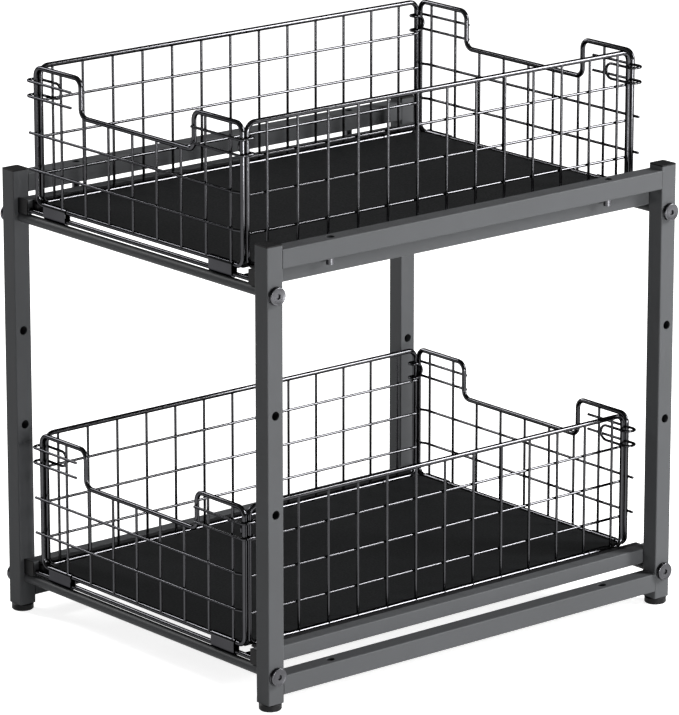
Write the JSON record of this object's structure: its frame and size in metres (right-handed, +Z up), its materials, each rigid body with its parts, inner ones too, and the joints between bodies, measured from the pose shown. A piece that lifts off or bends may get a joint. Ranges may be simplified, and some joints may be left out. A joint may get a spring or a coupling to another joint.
{
  "type": "pull out cabinet basket",
  "caption": "Stacked pull-out wire baskets in a square tube frame for a kitchen cabinet; each basket slides forward on ball runners.",
  "frame": {"origin": "on the floor under the middle of the frame, midway between the feet", "axes": "+X to the right, -Y to the front that the baskets are pulled out of, +Z up"},
  "size_m": [0.3348, 0.4148, 0.4478],
  "materials": {
    "frame_steel": "satin gunmetal powder coat on square and round steel",
    "wire_steel": "glossy black-nickel coat on steel wire",
    "slide_steel": "black electrophoretic coat on rolled steel",
    "black_bolt_steel": "black nickel plated steel",
    "zinc_steel": "zinc plated steel",
    "cage_steel": "thin zinc plated strip",
    "ball_steel": "hardened and polished steel",
    "black_plastic": "moulded black polypropylene",
    "mat_plastic": "matt black sheet"
  },
  "bodies": {
    "frame": {"post_front_left": "frame_steel", "post_front_right": "frame_steel", "post_back_left": "frame_steel", "post_back_right": "frame_steel", "bottom_rail_left": "frame_steel", "bottom_rail_right": "frame_steel", "top_rail_left": "frame_steel", "top_rail_right": "frame_steel", "post_caps": "black_plastic", "feet": "black_plastic", "rail_inserts": "black_bolt_steel", "frame_bolts": "black_bolt_steel", "flat_washers": "black_bolt_steel", "lock_washers": "black_bolt_steel", "lower_front_bar": "frame_steel", "lower_back_bar": "frame_steel", "lower_runner_left": "frame_steel", "lower_slide_channel_left": "slide_steel", "lower_runner_right": "frame_steel", "lower_slide_channel_right": "slide_steel", "lower_runner_plugs": "black_plastic", "lower_slide_screws": "zinc_steel", "upper_front_bar": "frame_steel", "upper_back_bar": "frame_steel", "upper_runner_left": "frame_steel", "upper_slide_channel_left": "slide_steel", "upper_runner_right": "frame_steel", "upper_slide_channel_right": "slide_steel", "upper_runner_plugs": "black_plastic", "upper_slide_screws": "zinc_steel"},
    "lower_basket": {"lower_slide_rail_left": "slide_steel", "lower_slide_rail_right": "slide_steel", "lower_base_grid": "wire_steel", "lower_front_panel": "wire_steel", "lower_back_panel": "wire_steel", "lower_side_panel_left": "wire_steel", "lower_side_panel_right": "wire_steel", "lower_corner_clips": "wire_steel", "lower_hinge_tabs": "wire_steel", "lower_mat": "mat_plastic"},
    "lower_cages": {"lower_ball_cages": "cage_steel", "lower_slide_balls": "ball_steel"},
    "upper_basket": {"upper_slide_rail_left": "slide_steel", "upper_slide_rail_right": "slide_steel", "upper_base_grid": "wire_steel", "upper_front_panel": "wire_steel", "upper_back_panel": "wire_steel", "upper_side_panel_left": "wire_steel", "upper_side_panel_right": "wire_steel", "upper_corner_clips": "wire_steel", "upper_hinge_tabs": "wire_steel", "upper_mat": "mat_plastic"},
    "upper_cages": {"upper_ball_cages": "cage_steel", "upper_slide_balls": "ball_steel"}
  },
  "joints": [
    {"name": "lower_slide", "type": "slide", "parent": "frame", "child": "lower_basket", "axis": [0, -1, 0], "range_m": [0, 0.26]},
    {"name": "lower_cage_slide", "type": "slide", "parent": "frame", "child": "lower_cages", "axis": [0, -1, 0], "range_m": [0, 0.13]},
    {"name": "upper_slide", "type": "slide", "parent": "frame", "child": "upper_basket", "axis": [0, -1, 0], "range_m": [0, 0.26]},
    {"name": "upper_cage_slide", "type": "slide", "parent": "frame", "child": "upper_cages", "axis": [0, -1, 0], "range_m": [0, 0.13]}
  ],
  "couplings": [
    {"joint": "lower_cage_slide", "follows": "lower_slide", "ratio": 0.5},
    {"joint": "upper_cage_slide", "follows": "upper_slide", "ratio": 0.5}
  ]
}
